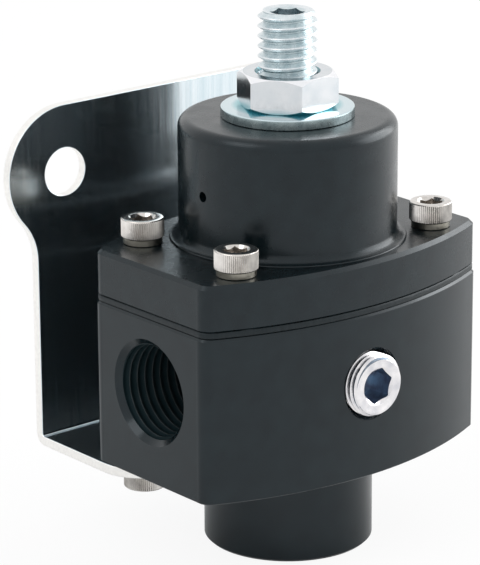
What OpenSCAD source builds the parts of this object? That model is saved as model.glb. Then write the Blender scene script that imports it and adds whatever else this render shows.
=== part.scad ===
// Four-screw fuel pressure regulator on a bent steel mounting bracket.
// Z runs up the adjusting screw, X through the two outlet ports and -Y out of the plugged gauge port.
// The origin is the centre of the inlet mouth, on the underside of the boss.

/* [Body] */
// Width across the two flat outlet faces
body_w = 57.2; // [56:0.2:60]
// Depth over the bulged front and back
body_d = 40.6; // [40.2:0.2:44]
// Height of the body block above the boss
body_h = 26.8; // [26:0.2:30]
// Radius of the bulged front and back faces
bulge_r = 64; // [58:1:80]
// Radius of the four upright corners
corner_r = 2.4; // [1.6:0.2:3.2]
// Chamfer on the body's top edge
body_edge = 0.35; // [0.2:0.05:0.5]
// Chamfer on the body's lower edge
under_edge = 0.15; // [0.1:0.05:0.4]
// Diameter of the inlet boss
boss_d = 27.4; // [25:0.2:27.8]
// Height of the inlet boss
boss_h = 15.6; // [15:0.2:20]
// Chamfer on the boss's lower edge
boss_edge = 0.4; // [0.3:0.1:1]

/* [Ports] */
// Radius of the pipe thread midway up its flanks, in the inlet and the outlets
port_r = 7.75; // [7.5:0.05:8]
// Chamfer at each outlet's mouth
port_edge = 0.9; // [0.5:0.05:1.1]
// Chamfer at the inlet's mouth
inlet_edge = 0.3; // [0.1:0.05:0.4]
// Threaded depth of the inlet
inlet_depth = 13; // [11:0.5:13.5]
// Threaded depth of each outlet
outlet_depth = 12; // [10:0.5:12.5]
// Depth of the outlet port axis below the top of the body
port_drop = 11.9; // [11.4:0.1:12.4]
// Depth of the gauge port axis below the top of the body
gauge_drop = 11.55; // [11.2:0.05:12]
// Radius of the drilled way from each outlet to the chamber
outlet_way_r = 6; // [5:0.1:6.4]
// Radius of the gauge port thread
gauge_r = 5.12; // [4.9:0.02:5.3]
// Chamfer at the gauge port's mouth
gauge_edge = 0.8; // [0.4:0.1:1]
// Radius of the drilled way from the gauge port to the chamber
gauge_way_r = 3.5; // [3.3:0.1:4]
// Threaded depth of the gauge port
gauge_depth = 8; // [7.5:0.1:8.5]
// Length of the gauge port plug
plug_len = 7; // [6:0.1:7.2]
// Depth of the plug's hexagon socket
plug_key_depth = 4.2; // [3:0.1:5]
// Turn of the plug's hexagon socket about its axis
plug_turn = 46; // [0:1:59]
// How far the plug stands out of the bulged face
plug_proud = 1.3; // [0.8:0.1:2]

/* [Chamber] */
// Radius of the pressure chamber under the diaphragm
chamber_r = 15.5; // [15:0.1:16]
// Depth of the pressure chamber
chamber_depth = 8.9; // [8.6:0.1:9.4]
// How far the diaphragm and the valve travel from open to shut
lift = 1.5; // [1:0.1:1.8]

/* [Bonnet] */
// How far the bonnet's outline stands inside the body's
cover_inset = 0.2; // [0.1:0.05:0.4]
// Thickness of the diaphragm sheet
sheet_t = 1.1; // [0.8:0.1:1.4]
// Thickness of the bonnet flange
flange_h = 7.3; // [6.5:0.1:9]
// Chamfer round the top of the flange
flange_edge = 0.6; // [0.4:0.1:0.8]
// Radius of the round tower
tower_r = 17.4; // [17:0.1:17.6]
// Height of the tower above the flange
tower_h = 19.6; // [18:0.2:24]
// Radius of the rounding round the tower's top
crown_r = 1.7; // [1.2:0.1:2]
// Radius of the cove at the tower's foot
cove_r = 1.3; // [1:0.1:1.4]
// Height of the low ring under the cove
ring_h = 0.3; // [0.2:0.05:0.6]
// Width of the flat that the low ring leaves round the cove
ring_w = 0.2; // [0.15:0.05:0.4]
// Radius of the spring chamber inside the tower
bell_r = 13; // [12.6:0.1:13.6]
// Thickness of the tower's threaded roof
roof_t = 6.4; // [5.4:0.1:7]
// Height of the vent hole above the flange
vent_height = 9.3; // [7:0.1:10]
// Radius of the vent hole in the tower's side
vent_r = 0.83; // [0.6:0.01:1.2]

/* [Adjuster] */
// Thread diameter of the adjusting screw over its crests
screw_d = 9.4; // [9.2:0.05:9.5]
// How far the screw stands above the jam nut
screw_proud = 9.7; // [7:0.1:14]
// How far the screw reaches below the roof
tip_reach = 2.2; // [2:0.1:3]
// Hexagon socket in the screw, across its flats
screw_key = 4.76; // [4:0.02:5]
// Turn of the screw's hexagon socket about its axis
screw_turn = 20; // [0:1:59]
// Jam nut across its flats
nut_af = 14.29; // [13.8:0.01:14.6]
// Jam nut thickness
nut_h = 5.5; // [5:0.1:6.5]
// Outer diameter of the flat washer
washer_d = 21.2; // [20:0.1:22]
// Thickness of the flat washer
washer_t = 1.6; // [1.2:0.1:2]

/* [Cover screws] */
// Half the distance between the screws along X
hole_x = 20.3; // [20.1:0.1:21]
// Half the distance between the screws along Y
hole_y = 11.5; // [11.4:0.1:11.8]
// Head diameter of the cover and bracket screws
head_d = 6.86; // [6.4:0.02:7]
// Head height of the cover and bracket screws
head_h = 4.17; // [3.8:0.01:4.4]
// Shank diameter of the cover and bracket screws
shank_d = 4.16; // [4:0.02:4.2]
// Length of a cover screw under its head
cover_len = 19; // [17:0.5:19.5]
// Hexagon socket in the cover screws, across its flats
head_key = 3.57; // [3.2:0.01:3.7]

/* [Bracket] */
// Thickness of the bracket's sheet steel
plate_t = 1.6; // [1.2:0.1:2]
// Gap between the back of the body and the upright plate
plate_gap = 7.7; // [5:0.1:11]
// Half the width of the bracket's neck and foot
neck_x = 28.85; // [28.2:0.05:29.4]
// Half the distance between the two mounting holes
ear_x = 23; // [22:0.1:24]
// Height of the mounting holes above the underside of the body
ear_height = 43.8; // [40:0.2:50]
// Radius of each ear
ear_r = 11.1; // [10:0.1:12]
// Radius of the mounting holes
ear_hole_r = 3.95; // [3.2:0.05:4.3]
// Radius of the sweep from each ear into the neck
sweep_r = 10; // [8:0.5:12]
// Inside radius of the bend
bend_r = 0.5; // [0.4:0.1:1.6]
// Half the distance between the bracket screws
foot_hole_x = 20.6; // [20.4:0.1:20.8]
// Distance of the bracket screws from the back of the body
foot_hole_back = 8.8; // [8.4:0.1:9.2]
// Radius of the foot's two round ends
foot_r = 8.25; // [7.8:0.05:8.3]
// Gap between the foot and the boss
foot_gap = 1; // [0.6:0.1:1.4]
// Length of a bracket screw under its head
bracket_len = 9.5; // [8:0.5:10]

/* [Hidden] */
$fa = 4;
$fs = 0.35;

// How far a cut runs past the face that it opens
over = 1;
// Radial play of a shank in its hole, and of a sliding or turning fit
hole_play = 0.22;
thread_play = 0.04;
run_play = 0.05;
// How far a corner's rounding stands proud of the faces that it blends, so that they cross cleanly
blend = 0.02;

// Heights of the stack from the inlet mouth up to the adjusting screw's top
z_seam = boss_h + body_h;
z_flange = z_seam + sheet_t;
z_top = z_flange + flange_h;
z_tower = z_top + tower_h;
z_roof = z_tower - roof_t;
z_nut = z_tower + washer_t;
z_screw = z_nut + nut_h + screw_proud;
z_tip = z_roof - tip_reach;
z_port = z_seam - port_drop;
z_gauge = z_seam - gauge_drop;
z_floor = z_seam - chamber_depth;

// Bracket screws and the front of the upright plate, measured from the screw axis
foot_hole_y = body_d / 2 - foot_hole_back;
plate_y = body_d / 2 + plate_gap;

// Valve seat, screwed into the chamber floor over the poppet's bore
seat_head_r = 8.8;
seat_head_h = 2.5;
seat_r = 5.9;
seat_len = 8;
seat_way_r = 2.4;
lip_r = 3.4;
lip_h = 0.5;
groove_r = 7.4;
groove_h = 1.7;
seat_wall = 3;
z_lip = z_floor - seat_len - lip_h;

// Poppet, drawn at rest with the valve open by its lift
poppet_bore_r = 5;
poppet_r = 4;
poppet_h = 3;
poppet_stem_r = 1.2;
poppet_nose_r = 1.8;
poppet_nose_h = 1.3;
seal_r = 3.6;
seal_t = 1.2;
seal_proud = 0.2;
valve_way_r = 2.2;
valve_coil_r = 2.9;
valve_wire = 0.7;
valve_coil_h = 3.8;
valve_turns = 4;
z_seal = z_lip - lift;
z_poppet = z_seal - seal_proud - poppet_h;
z_shoulder = z_poppet - valve_coil_h;

// Plates and rivet that clamp the middle of the diaphragm
plate_r = 11.2;
disc_t = 1.4;
cup_t = 1.2;
cup_wall = 0.9;
cup_h = 2.6;
rivet_r = 2.45;
rivet_head_r = 4.4;
rivet_head_h = 1.6;
rivet_pad_r = 4;
rivet_pad_h = 2;
fold_r = 13.4;
fold_in = 0.9;
fold_angle = 15;
z_plate = z_seam - disc_t;
z_pad = z_plate - rivet_pad_h;
z_cup = z_flange + cup_t;

// Pressure spring between the cup and the button under the screw's tip
button_r = 10.2;
button_t = 2.5;
button_nose_r = 6.6;
button_nose_h = 1.8;
main_coil_r = 8.2;
main_wire = 1.6;
main_turns = 5;
z_button = z_tip - button_t;

// Flats that make up the round of the bracket's bend
bend_steps = 10;

// Cones that make up the tower's cove and its crown
cove_steps = 9;
crown_steps = 12;

// Small edges on the turned pieces
screw_edge = 0.75;
nut_slope = 33;
nut_crest = 0.1;
nut_turn = 5;
head_edge = 0.35;
washer_edge = 0.2;
seam_edge = 0.2;
ring_edge = 0.1;
band_h = 1.05;
band_in = 0.31;

// How far the countersunk mouth of a socket or a nut's bore stands outside its corners
key_mouth = 0.2;
plug_mouth = 0.45;
bore_mouth = 0.6;

// Disc on the XY plane with its two rims chamfered
module edged_disc(r, h, top, foot) {
    rotate_extrude()
        polygon([[0, 0], [r - foot, 0], [r, foot], [r, h - top], [r - top, h], [0, h]]);
}

// Block with two flat sides, bulged front and back, rounded corners and chamfered rims
module bulged_block(w, d, h, top, foot) {
    centre_x = w / 2 - corner_r;
    arc_y = bulge_r - d / 2;
    centre_y = sqrt(pow(bulge_r - corner_r, 2) - pow(centre_x, 2)) - arc_y;
    tangent_x = centre_x * bulge_r / (bulge_r - corner_r);
    intersection() {
        translate([0, arc_y, 0])
            edged_disc(bulge_r, h, top, foot);
        translate([0, -arc_y, 0])
            edged_disc(bulge_r, h, top, foot);
        translate([-tangent_x, -d, 0])
            cube([2 * tangent_x, 2 * d, h]);
    }
    translate([0, centre_y, 0])
        rotate([90, 0, 0])
            linear_extrude(2 * centre_y)
                polygon([[foot - w / 2, 0], [w / 2 - foot, 0], [w / 2, foot], [w / 2, h - top],
                         [w / 2 - top, h], [top - w / 2, h], [-w / 2, h - top], [-w / 2, foot]]);
    for (x = [-1, 1], y = [-1, 1])
        translate([x * centre_x, y * centre_y, 0])
            edged_disc(corner_r + blend, h, top, foot);
}

// Hole down from z = 0 with a chamfered mouth
module mouthed_hole(r, depth, edge) {
    translate([0, 0, -depth])
        cylinder(r = r, h = depth + over);
    translate([0, 0, -edge])
        cylinder(r1 = r, r2 = r + edge + over, h = edge + over);
}

// Hexagon prism given across its flats, standing on z = 0
module hexagon(af, h) {
    cylinder(d = af / cos(30), h = h, $fn = 6);
}

// Cone of 45 degrees that widens upward and has radius r at z = 0
module countersink(r) {
    translate([0, 0, -r / 2])
        cylinder(r1 = r / 2, r2 = r + over, h = r / 2 + over);
}

// Hexagon socket down from z = 0 with a countersunk mouth that stands clear of its corners
module socket(af, depth, mouth) {
    translate([0, 0, -depth])
        hexagon(af, depth + over);
    countersink(af / 2 / cos(30) + mouth);
}

// Places its children at the four cover screws
module at_cover_screws() {
    for (x = [-1, 1], y = [-1, 1])
        translate([x * hole_x, y * hole_y, 0])
            children();
}

// Places its children at the two bracket screws
module at_bracket_screws() {
    for (x = [-1, 1])
        translate([x * foot_hole_x, foot_hole_y, 0])
            children();
}

// Socket head screw with its head standing on z = 0 and its shank below
module cap_screw(len) {
    r = head_d / 2;
    difference() {
        rotate_extrude()
            polygon([[0, 0], [r - band_in - head_edge, 0], [r - band_in, head_edge],
                     [r - band_in, band_h], [r, band_h + band_in], [r, head_h - head_edge],
                     [r - head_edge, head_h], [0, head_h]]);
        translate([0, 0, head_h])
            socket(head_key, head_h / 2, key_mouth);
    }
    translate([0, 0, -len])
        edged_disc(shank_d / 2, len + head_h / 4, head_edge, head_edge);
}

// Point on the wire's surface: t counts turns, s is the angle round the wire
function coil_point(r, wire, h, turns, t, s) =
    let (rise = (h - 3 * wire) / (turns - 2),
         z = wire / 2 + wire * (min(t, 1) + max(t - turns + 1, 0)) + rise * max(min(t, turns - 1) - 1, 0),
         out = r + wire / 2 * cos(s))
    [out * cos(360 * t), out * sin(360 * t), z + wire / 2 * sin(s)];

// Compression spring standing on z = 0, with one closed turn at each end
module coil(r, wire, h, turns) {
    steps = 24;
    sides = 8;
    rings = turns * steps;
    last = rings * sides;
    points = [for (i = [0:rings], k = [0:sides - 1])
        coil_point(r, wire, h, turns, i / steps, 360 * k / sides)];
    wall = [for (i = [0:rings - 1], k = [0:sides - 1])
        let (a = i * sides + k, b = i * sides + (k + 1) % sides)
        each [[a, b, b + sides], [a, b + sides, a + sides]]];
    ends = [[for (k = [sides - 1:-1:0]) k], [for (k = [0:sides - 1]) last + k]];
    polyhedron(points, concat(wall, ends));
}

// Machined body with its inlet boss, crossing ports and valve bores
module valve_body() {
    color("#2f3437")
    difference() {
        union() {
            translate([0, 0, boss_h])
                bulged_block(body_w, body_d, body_h, body_edge, under_edge);
            edged_disc(boss_d / 2, boss_h + over, boss_edge, boss_edge);
        }
        mirror([0, 0, 1])
            mouthed_hole(port_r, inlet_depth, inlet_edge);
        for (side = [-1, 1])
            translate([side * body_w / 2, 0, z_port])
                rotate([0, side * 90, 0]) {
                    mouthed_hole(port_r, outlet_depth, port_edge);
                    mouthed_hole(outlet_way_r, body_w / 2 - groove_r - seat_wall, port_edge);
                }
        translate([0, -body_d / 2, z_gauge])
            rotate([90, 0, 0]) {
                mouthed_hole(gauge_r, gauge_depth, gauge_edge);
                mouthed_hole(gauge_way_r, body_d / 2 - groove_r - seat_wall / 2, port_edge);
            }
        translate([0, 0, z_floor])
            cylinder(r = chamber_r, h = chamber_depth + over);
        translate([0, 0, z_floor - groove_h])
            cylinder(r = groove_r, h = groove_h + over);
        translate([0, 0, z_floor - seat_len])
            cylinder(r = seat_r + thread_play, h = seat_len + over);
        translate([0, 0, z_shoulder])
            cylinder(r = poppet_bore_r, h = z_floor - z_shoulder);
        cylinder(r = valve_way_r, h = z_floor);
        at_cover_screws()
            translate([0, 0, z_top - cover_len - over])
                cylinder(d = shank_d + 2 * thread_play, h = cover_len);
        at_bracket_screws()
            translate([0, 0, boss_h - over])
                cylinder(d = shank_d + 2 * thread_play, h = bracket_len - plate_t + 2 * over);
    }
}

// Points along an arc from one angle to another
function arc(x, y, r, from, to, steps) =
    [for (i = [0:steps])
        let (a = from + (to - from) * i / steps)
        [x + r * cos(a), y + r * sin(a)]];

// Half section of the tower over the flange's underside, with its foot ring, cove and round crown
module tower_section() {
    top = z_tower - z_flange;
    foot = flange_h + ring_h;
    ring_r = tower_r + cove_r + ring_w;
    polygon(concat([[0, over], [ring_r, over], [ring_r, foot - ring_edge], [ring_r - ring_edge, foot]],
                   arc(tower_r + cove_r, foot + cove_r, cove_r, 270, 180, cove_steps),
                   arc(tower_r - crown_r, top - crown_r, crown_r, 0, 90, crown_steps),
                   [[0, top]]));
}

// Turned and milled bonnet that holds the spring and clamps the diaphragm
module bonnet() {
    color("#2f3437")
    difference() {
        union() {
            translate([0, 0, z_flange])
                bulged_block(body_w - 2 * cover_inset, body_d - 2 * cover_inset, flange_h,
                             flange_edge, seam_edge);
            translate([0, 0, z_flange])
                rotate_extrude()
                    tower_section();
        }
        translate([0, 0, z_flange - over])
            cylinder(r = bell_r, h = z_roof - z_flange + over);
        translate([0, 0, z_flange - over])
            cylinder(r = chamber_r, h = flange_h / 2 + over);
        translate([0, 0, z_roof - over])
            cylinder(d = screw_d + 2 * run_play, h = roof_t + 2 * over);
        translate([0, 0, z_top + vent_height])
            rotate([0, -90, 0])
                cylinder(r = vent_r, h = tower_r + over);
        at_cover_screws()
            translate([0, 0, z_flange - over])
                cylinder(d = shank_d + 2 * hole_play, h = flange_h + 2 * over);
    }
}

// Rubber-coated fabric sheet with one rolled fold round its middle
module diaphragm() {
    color("#26282a")
    difference() {
        union() {
            translate([0, 0, z_seam])
                bulged_block(body_w - 2 * cover_inset, body_d - 2 * cover_inset, sheet_t,
                             seam_edge, seam_edge);
            translate([0, 0, z_seam])
                rotate_extrude()
                    polygon(arc(fold_r, 0, fold_in + sheet_t, fold_angle, 180 - fold_angle, 10));
        }
        translate([0, 0, z_seam])
            rotate_extrude()
                translate([fold_r, 0])
                    circle(fold_in);
        translate([0, 0, z_seam - over])
            cylinder(r = rivet_r + run_play, h = sheet_t + 2 * over);
        at_cover_screws()
            translate([0, 0, z_seam - over])
                cylinder(d = shank_d + 2 * hole_play, h = sheet_t + 2 * over);
    }
}

// Pressed cup on top of the diaphragm that seats the pressure spring
module diaphragm_top_plate() {
    color("#b9bec2")
    translate([0, 0, z_flange])
        difference() {
            edged_disc(plate_r, cup_h, cup_wall / 3, cup_wall);
            translate([0, 0, cup_t])
                cylinder(r = plate_r - cup_wall, h = cup_h);
            translate([0, 0, -over])
                cylinder(r = rivet_r + run_play, h = cup_t + 2 * over);
        }
}

// Flat backing disc under the diaphragm
module diaphragm_bottom_plate() {
    color("#b9bec2")
    translate([0, 0, z_plate])
        difference() {
            edged_disc(plate_r, disc_t, disc_t / 5, disc_t / 5);
            translate([0, 0, -over])
                cylinder(r = rivet_r + run_play, h = disc_t + 2 * over);
        }
}

// Rivet through the two plates, with the pad below that meets the poppet's stem
module diaphragm_rivet() {
    color("#c9a35a")
    union() {
        translate([0, 0, z_pad])
            edged_disc(rivet_pad_r, rivet_pad_h, head_edge, head_edge);
        translate([0, 0, z_plate - rivet_pad_h / 2])
            cylinder(r = rivet_r, h = z_cup - z_plate + (rivet_pad_h + rivet_head_h) / 2);
        translate([0, 0, z_cup])
            edged_disc(rivet_head_r, rivet_head_h, rivet_head_h / 2, head_edge);
    }
}

// Main compression spring that sets the outlet pressure
module pressure_spring() {
    color("#8c9094")
    translate([0, 0, z_cup])
        coil(main_coil_r, main_wire, z_button - z_cup, main_turns);
}

// Turned button that spreads the screw's push onto the spring
module spring_button() {
    color("#c3c7ca")
    translate([0, 0, z_button - button_nose_h]) {
        edged_disc(button_nose_r, button_nose_h + button_t / 2, head_edge, head_edge);
        translate([0, 0, button_nose_h])
            edged_disc(button_r, button_t, head_edge, head_edge);
    }
}

// Socket set screw that presses on the spring
module adjusting_screw() {
    color("#c8ccce")
    translate([0, 0, z_tip])
        difference() {
            edged_disc(screw_d / 2, z_screw - z_tip, screw_edge, screw_edge);
            translate([0, 0, z_screw - z_tip])
                rotate([0, 0, screw_turn])
                    socket(screw_key, screw_key, key_mouth);
        }
}

// Round blank of the nut, coned at both ends so that its rims just cross the flats
module nut_blank() {
    flat_r = nut_af / 2 - nut_crest;
    out_r = nut_af / 2 / cos(30) + over;
    rise = (out_r - flat_r) * tan(nut_slope);
    rotate_extrude()
        polygon([[0, 0], [flat_r, 0], [out_r, rise], [out_r, nut_h - rise], [flat_r, nut_h], [0, nut_h]]);
}

// Thin hexagon nut that locks the screw, chamfered at both ends
module jam_nut() {
    color("#c8ccce")
    translate([0, 0, z_nut])
        difference() {
            intersection() {
                rotate([0, 0, nut_turn])
                    hexagon(nut_af, nut_h);
                nut_blank();
            }
            translate([0, 0, -over])
                cylinder(d = screw_d + 2 * run_play, h = nut_h + 2 * over);
            translate([0, 0, nut_h])
                countersink(screw_d / 2 + bore_mouth);
            mirror([0, 0, 1])
                countersink(screw_d / 2 + bore_mouth);
        }
}

// Flat washer between the nut and the tower
module flat_washer() {
    color("#c8ccce")
    translate([0, 0, z_tower])
        difference() {
            edged_disc(washer_d / 2, washer_t, washer_edge, washer_edge);
            translate([0, 0, -over])
                cylinder(d = screw_d + 4 * hole_play, h = washer_t + 2 * over);
        }
}

// Four socket head screws that clamp the bonnet and the diaphragm to the body
module cover_screws() {
    color("#b4b2ae")
    at_cover_screws()
        translate([0, 0, z_top])
            cap_screw(cover_len);
}

// Outline of the upright plate in X and Z: two ears, the bar between them and the neck
module plate_outline() {
    z_ear = boss_h + ear_height;
    fillet_x = neck_x + sweep_r;
    fillet_z = z_ear - sqrt(pow(ear_r + sweep_r, 2) - pow(fillet_x - ear_x, 2));
    share = ear_r / (ear_r + sweep_r);
    tangent_x = ear_x + (fillet_x - ear_x) * share;
    tangent_z = z_ear + (fillet_z - z_ear) * share;
    difference() {
        union() {
            translate([-neck_x, boss_h + bend_r])
                square([2 * neck_x, z_ear - boss_h - bend_r]);
            translate([-ear_x, z_ear - ear_r])
                square([2 * ear_x, 2 * ear_r]);
            for (side = [-1, 1])
                translate([side * ear_x, z_ear])
                    circle(ear_r);
            translate([-tangent_x, fillet_z])
                square([2 * tangent_x, tangent_z - fillet_z]);
        }
        for (side = [-1, 1]) {
            translate([side * fillet_x, fillet_z])
                circle(sweep_r);
            translate([side * ear_x, z_ear])
                circle(ear_hole_r);
        }
    }
}

// Section of the bend, lapped a little way into the foot and the upright plate
module bend_section() {
    out = bend_r + plate_t;
    polygon(concat([[-over, -out]], arc(0, 0, out, 270, 360, bend_steps), [[out, over], [bend_r, over]],
                   arc(0, 0, bend_r, 360, 270, bend_steps), [[-over, -bend_r]]));
}

// Sheet steel bracket: upright plate, bend and a foot screwed under the body
module mounting_bracket() {
    color("#9aa4a8")
    union() {
        translate([0, plate_y + plate_t, 0])
            rotate([90, 0, 0])
                linear_extrude(plate_t)
                    plate_outline();
        translate([-neck_x, plate_y - bend_r, boss_h + bend_r])
            rotate([90, 0, 90])
                linear_extrude(2 * neck_x)
                    bend_section();
        translate([0, 0, boss_h - plate_t])
            linear_extrude(plate_t)
                difference() {
                    union() {
                        translate([-neck_x, foot_hole_y])
                            square([2 * neck_x, plate_y - bend_r - foot_hole_y]);
                        at_bracket_screws()
                            circle(foot_r);
                    }
                    circle(boss_d / 2 + foot_gap);
                    at_bracket_screws()
                        circle(shank_d / 2 + hole_play);
                }
    }
}

// Two socket head screws that hold the bracket's foot under the body
module bracket_screws() {
    color("#b4b2ae")
    at_bracket_screws()
        translate([0, 0, boss_h - plate_t])
            mirror([0, 0, 1])
                cap_screw(bracket_len);
}

// Tapered pipe plug with a hexagon socket in the gauge port
module gauge_port_plug() {
    color("#c8ccce")
    translate([0, -body_d / 2 - plug_proud, z_gauge])
        rotate([-90, 0, 0])
            difference() {
                edged_disc(gauge_r - thread_play, plug_len, screw_edge, head_edge);
                rotate([180, 0, plug_turn])
                    socket(screw_key, plug_key_depth, plug_mouth);
            }
}

// Brass seat with the orifice that the poppet closes from below
module valve_seat() {
    color("#c9a35a")
    difference() {
        union() {
            translate([0, 0, z_floor])
                hexagon(2 * seat_head_r * cos(30), seat_head_h);
            translate([0, 0, z_floor - seat_len])
                cylinder(r = seat_r, h = seat_len + over);
            translate([0, 0, z_lip])
                edged_disc(lip_r, lip_h + over, lip_h / 2, lip_h / 2);
        }
        translate([0, 0, z_lip - over])
            cylinder(r = seat_way_r, h = seat_len + seat_head_h + lip_h + 2 * over);
    }
}

// Rubber ring that seals the seat in the chamber floor
module seat_o_ring() {
    color("#1b1b1c")
    translate([0, 0, z_floor - groove_h / 2])
        rotate_extrude()
            translate([(seat_r + groove_r) / 2, 0])
                circle((groove_r - seat_r) / 2 - run_play);
}

// Poppet with the long stem that reaches up through the seat to the rivet's pad
module valve_poppet() {
    color("#c9a35a")
    difference() {
        union() {
            translate([0, 0, z_poppet])
                edged_disc(poppet_r, poppet_h, head_edge / 2, head_edge);
            translate([0, 0, z_poppet - poppet_nose_h])
                edged_disc(poppet_nose_r, poppet_nose_h + over, head_edge, head_edge);
            translate([0, 0, z_poppet])
                cylinder(r = poppet_stem_r, h = z_pad - z_poppet);
        }
        translate([0, 0, z_seal - seal_t])
            difference() {
                cylinder(r = seal_r + run_play, h = seal_t + over);
                translate([0, 0, -over])
                    cylinder(r = poppet_stem_r, h = seal_t + 3 * over);
            }
    }
}

// Rubber disc in the poppet's face that shuts against the seat's lip
module poppet_seal() {
    color("#1b1b1c")
    translate([0, 0, z_seal - seal_t])
        difference() {
            cylinder(r = seal_r, h = seal_t);
            translate([0, 0, -over])
                cylinder(r = poppet_stem_r + run_play, h = seal_t + 2 * over);
        }
}

// Small spring that closes the poppet
module valve_spring() {
    color("#8c9094")
    translate([0, 0, z_shoulder])
        coil(valve_coil_r, valve_wire, valve_coil_h, valve_turns);
}

valve_body();
bonnet();
diaphragm();
diaphragm_top_plate();
diaphragm_bottom_plate();
diaphragm_rivet();
pressure_spring();
spring_button();
adjusting_screw();
jam_nut();
flat_washer();
cover_screws();
mounting_bracket();
bracket_screws();
gauge_port_plug();
valve_seat();
seat_o_ring();
valve_poppet();
poppet_seal();
valve_spring();
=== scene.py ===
import math

import bmesh
import bpy
from mathutils import Matrix, Vector


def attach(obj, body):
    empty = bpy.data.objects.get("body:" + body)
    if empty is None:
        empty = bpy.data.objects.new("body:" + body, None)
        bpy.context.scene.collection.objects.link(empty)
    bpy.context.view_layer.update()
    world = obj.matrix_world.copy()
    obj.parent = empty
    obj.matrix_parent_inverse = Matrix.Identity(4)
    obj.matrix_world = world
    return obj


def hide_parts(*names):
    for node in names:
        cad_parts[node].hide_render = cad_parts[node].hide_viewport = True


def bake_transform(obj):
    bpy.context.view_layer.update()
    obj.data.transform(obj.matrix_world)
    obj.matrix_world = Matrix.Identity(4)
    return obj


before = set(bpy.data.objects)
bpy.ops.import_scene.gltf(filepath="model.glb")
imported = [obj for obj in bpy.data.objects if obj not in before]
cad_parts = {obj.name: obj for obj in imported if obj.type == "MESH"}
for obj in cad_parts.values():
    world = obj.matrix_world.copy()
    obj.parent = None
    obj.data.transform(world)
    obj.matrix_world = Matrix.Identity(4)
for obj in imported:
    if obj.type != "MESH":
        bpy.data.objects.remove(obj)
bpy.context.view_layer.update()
MM = 0.001
FULL_TURN = 2 * math.pi


# Valve body: one block of aluminium, milled to a bulged outline with a turned inlet boss,
# drilled and tapped from five sides, then bead blasted lightly and dyed satin black.
# The CAD solid has its shape, so it keeps that and takes the finish.
def start_material(name, metallic, roughness=0.5, ior=1.5):
    """Principled material with the values that are the same all over its surface."""
    material = bpy.data.materials.new(name)
    material.use_nodes = True
    shader = material.node_tree.nodes["Principled BSDF"]
    shader.inputs["Metallic"].default_value = metallic
    shader.inputs["Roughness"].default_value = roughness
    shader.inputs["IOR"].default_value = ior
    return material, material.node_tree, shader


def cloud(tree, size, stretch=(1, 1, 1), detail=3):
    """Noise in blots about size across, drawn out along the axes that stretch makes small."""
    place = tree.nodes.new("ShaderNodeTexCoord")
    turn = tree.nodes.new("ShaderNodeMapping")
    turn.inputs["Scale"].default_value = stretch
    blots = tree.nodes.new("ShaderNodeTexNoise")
    blots.inputs["Scale"].default_value = 1 / size
    blots.inputs["Detail"].default_value = detail
    tree.links.new(place.outputs["Object"], turn.inputs["Vector"])
    tree.links.new(turn.outputs["Vector"], blots.inputs["Vector"])
    return blots.outputs[0]


def spread(tree, pattern, low, high, start=0.3, end=0.7):
    """Turns a pattern that runs from start to end into numbers from low to high."""
    span = tree.nodes.new("ShaderNodeMapRange")
    span.inputs["From Min"].default_value = start
    span.inputs["From Max"].default_value = end
    span.inputs["To Min"].default_value = low
    span.inputs["To Max"].default_value = high
    tree.links.new(pattern, span.inputs["Value"])
    return span.outputs["Result"]


def colour(tree, shader, pattern, *stops):
    """Colours the shader by a pattern, from stops of a position and a tone."""
    ramp = tree.nodes.new("ShaderNodeValToRGB")
    marks = ramp.color_ramp.elements
    while len(marks) < len(stops):
        marks.new(0.5)
    for mark, (position, tone) in zip(marks, stops):
        mark.position = position
        mark.color = (*tone, 1)
    tree.links.new(pattern, ramp.inputs["Fac"])
    tree.links.new(ramp.outputs["Color"], shader.inputs["Base Color"])


def mottle(tree, shader, pattern, dark, pale, start=0.3, end=0.7):
    """Colours the shader from dark to pale as a pattern runs from start to end."""
    colour(tree, shader, pattern, (start, dark), (end, pale))


def roughen(tree, shader, pattern, smooth, rough):
    """Varies the shader's roughness by a pattern."""
    tree.links.new(spread(tree, pattern, smooth, rough), shader.inputs["Roughness"])


def raise_surface(tree, shader, *layers):
    """Chains bumps of a pattern, a strength and a depth onto the shader's normal."""
    normal = None
    for pattern, strength, depth in layers:
        bump = tree.nodes.new("ShaderNodeBump")
        bump.inputs["Strength"].default_value = strength
        bump.inputs["Distance"].default_value = depth
        tree.links.new(pattern, bump.inputs["Height"])
        if normal:
            tree.links.new(normal, bump.inputs["Normal"])
        normal = bump.outputs["Normal"]
    tree.links.new(normal, shader.inputs["Normal"])


def anodised(name, lay, smooth, rough):
    """Satin black dyed aluminium; lay gives the cutter's marks as a stretch of fine noise."""
    material, tree, shader = start_material(name, metallic=0, ior=1.51)
    shader.inputs["Specular Tint"].default_value = (0.67, 0.74, 0.79, 1)
    mottle(tree, shader, cloud(tree, 3 * MM, detail=5),
           dark=(0.0002, 0.0028, 0.0044), pale=(0.0030, 0.0078, 0.0098))
    roughen(tree, shader, cloud(tree, 4 * MM, detail=6), smooth, rough)
    blasting, cutting = cloud(tree, 0.35 * MM), cloud(tree, 0.3 * MM, lay)
    raise_surface(tree, shader, (blasting, 0.3, 0.02 * MM), (cutting, 0.16, 0.01 * MM))
    return material


def finish_node(node, material):
    """Gives a CAD node its finish."""
    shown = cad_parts[node]
    shown.data.materials.clear()
    shown.data.materials.append(material)


body_finish = anodised("black_milled", lay=(0.08, 0.08, 1), smooth=0.13, rough=0.22)
finish_node("valve_body", body_finish)


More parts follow.
